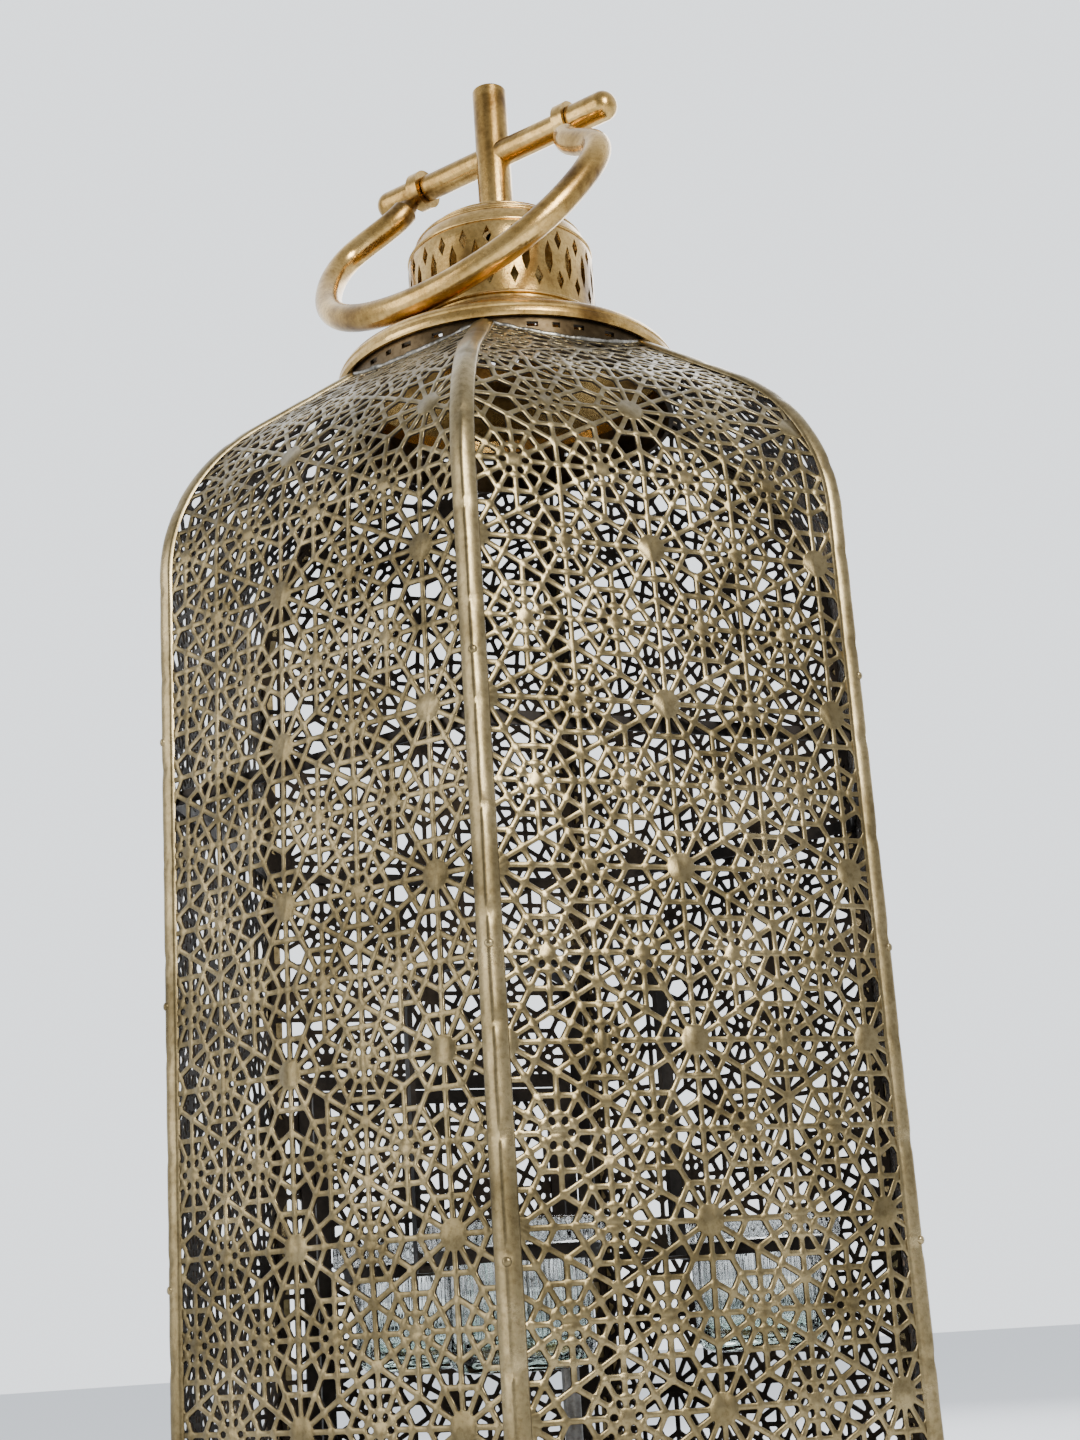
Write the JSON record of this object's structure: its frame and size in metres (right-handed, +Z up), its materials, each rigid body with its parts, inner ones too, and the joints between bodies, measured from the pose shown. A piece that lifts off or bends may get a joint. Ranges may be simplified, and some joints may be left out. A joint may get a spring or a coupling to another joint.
{
  "type": "hanging lantern",
  "caption": "Six-sided pierced brass lantern with a domed shoulder, chimney cap, swinging carrying ring, side door and glass candle cups on a carrier.",
  "frame": {"origin": "on the ground under the middle of the lantern", "axes": "+Z up; a corner strip faces -Y; the door is in the side that faces back and left (-X, +Y)"},
  "size_m": [0.329, 0.38, 0.801],
  "materials": {
    "side_brass": "antique, satin, brown in the recesses",
    "rib_brass": "antique, satin, worn bright on the edges",
    "base_brass": "antique, satin",
    "gold_brass": "warm, half polished with brown patina",
    "neck_brass": "dark, unpolished, with pale solder",
    "dark_iron": "dark brown, matte",
    "steel": "dull",
    "cup_glass": "clear, slightly green where thick"
  },
  "bodies": {
    "base": {"base_frame": "base_brass", "base_plate": "base_brass", "carrier_handle": "dark_iron", "carrier_post": "steel", "chimney_cap": "gold_brass", "chimney_drum": "gold_brass", "collar": "gold_brass", "crossbar": "gold_brass", "crossbar_pin": "steel", "cup_carrier": "dark_iron", "dome_back_left": "side_brass", "dome_back_right": "side_brass", "dome_front_left": "side_brass", "dome_front_right": "side_brass", "dome_left": "side_brass", "dome_right": "side_brass", "door_jamb": "dark_iron", "end_caps": "gold_brass", "feet": "base_brass", "hinge_fixed": "dark_iron", "hinge_pins": "steel", "inner_brace": "dark_iron", "latch_pivot": "steel", "neck_ring": "neck_brass", "panel_back_left": "side_brass", "panel_back_right": "side_brass", "panel_front_left": "side_brass", "panel_front_right": "side_brass", "panel_left": "side_brass", "panel_right": "side_brass", "post_nuts": "steel", "rib_back": "rib_brass", "rib_back_left": "rib_brass", "rib_back_right": "rib_brass", "rib_front": "rib_brass", "rib_front_left": "rib_brass", "rib_front_right": "rib_brass", "rib_rivets": "rib_brass", "stem": "gold_brass"},
    "ring": {"ring": "gold_brass"},
    "door": {"door_leaf": "side_brass", "door_strip": "dark_iron", "door_knob": "gold_brass", "hinge_moving": "dark_iron"},
    "latch": {"latch_button": "dark_iron"},
    "cup_right": {"cup_right": "cup_glass"},
    "cup_front": {"cup_front": "cup_glass"},
    "cup_left": {"cup_left": "cup_glass"}
  },
  "joints": [
    {"name": "ring_swing", "type": "hinge", "parent": "base", "child": "ring", "pos_m": [0, 0, 0.761], "axis": [-0.866, 0.5, 0], "range_deg": [0, 294]},
    {"name": "door_swing", "type": "hinge", "parent": "base", "child": "door", "pos_m": [-0.14031, 0.10304, 0.17], "axis": [0, 0, 1], "range_deg": [0, 110]},
    {"name": "latch_turn", "type": "hinge", "parent": "base", "child": "latch", "pos_m": [-0.01302, 0.17554, 0.17], "axis": [-0.5, 0.866, 0], "range_deg": [0, 90]},
    {"name": "cup_right_lift", "type": "slide", "parent": "base", "child": "cup_right", "axis": [0, 0, 1], "range_m": [0, 0.06]},
    {"name": "cup_front_lift", "type": "slide", "parent": "base", "child": "cup_front", "axis": [0, 0, 1], "range_m": [0, 0.06]},
    {"name": "cup_left_lift", "type": "slide", "parent": "base", "child": "cup_left", "axis": [0, 0, 1], "range_m": [0, 0.06]}
  ]
}
